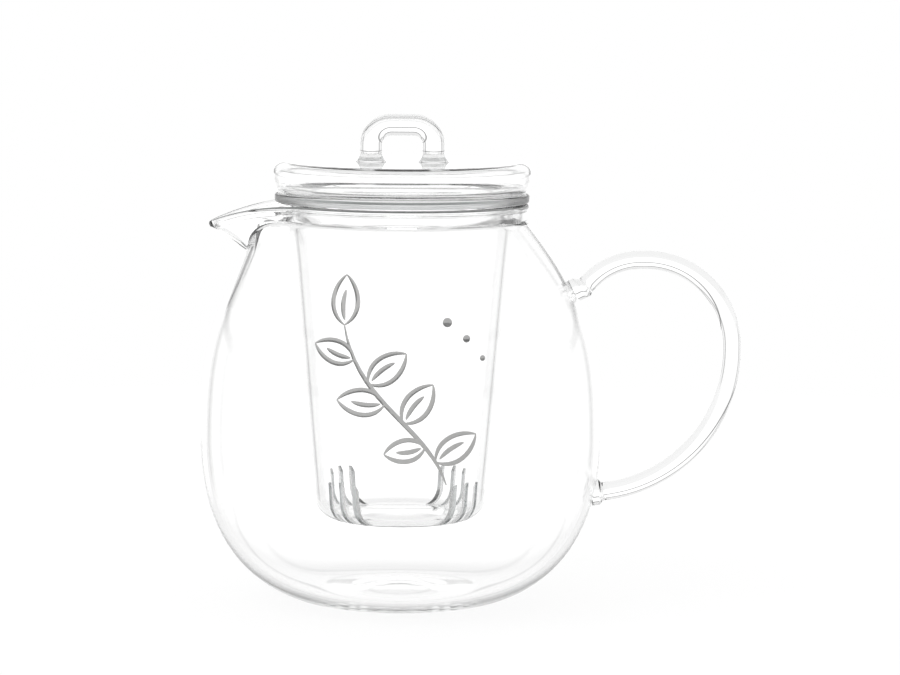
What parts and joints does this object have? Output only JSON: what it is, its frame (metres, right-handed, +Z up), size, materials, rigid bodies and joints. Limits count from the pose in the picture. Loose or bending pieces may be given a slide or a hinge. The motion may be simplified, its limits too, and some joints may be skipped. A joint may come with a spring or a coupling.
{
  "type": "glass teapot",
  "caption": "Blown-glass teapot with a beak spout, a bent-rod handle, a lift-out glass infuser with sawn straining slits, and a hollow glass lid with a loop knob.",
  "frame": {"origin": "centre of the flat ring that the teapot stands on, on the axis of the blown body", "axes": "+Z up, +X towards the handle, -X towards the spout"},
  "size_m": [0.1754, 0.13, 0.159],
  "materials": {
    "clear_glass": "fire-polished clear borosilicate glass",
    "ground_glass": "sawn and ground glass surface, frosted",
    "grey_enamel": "fired-on grey enamel print, satin"
  },
  "bodies": {
    "pot": {"vessel": "clear_glass", "shoulder": "clear_glass", "collar": "clear_glass", "spout": "clear_glass", "handle": "clear_glass", "handle_upper_seal": "clear_glass", "handle_lower_seal": "clear_glass"},
    "infuser": {"infuser": "clear_glass"},
    "lid": {"lid": "clear_glass", "knob": "clear_glass", "knob_left_seal": "clear_glass", "knob_right_seal": "clear_glass"}
  },
  "joints": [
    {"name": "infuser_lift", "type": "slide", "parent": "pot", "child": "infuser", "axis": [0, 0, 1], "range_m": [0, 0.112]},
    {"name": "lid_lift", "type": "slide", "parent": "infuser", "child": "lid", "axis": [0, 0, 1], "range_m": [0, 0.03]}
  ]
}
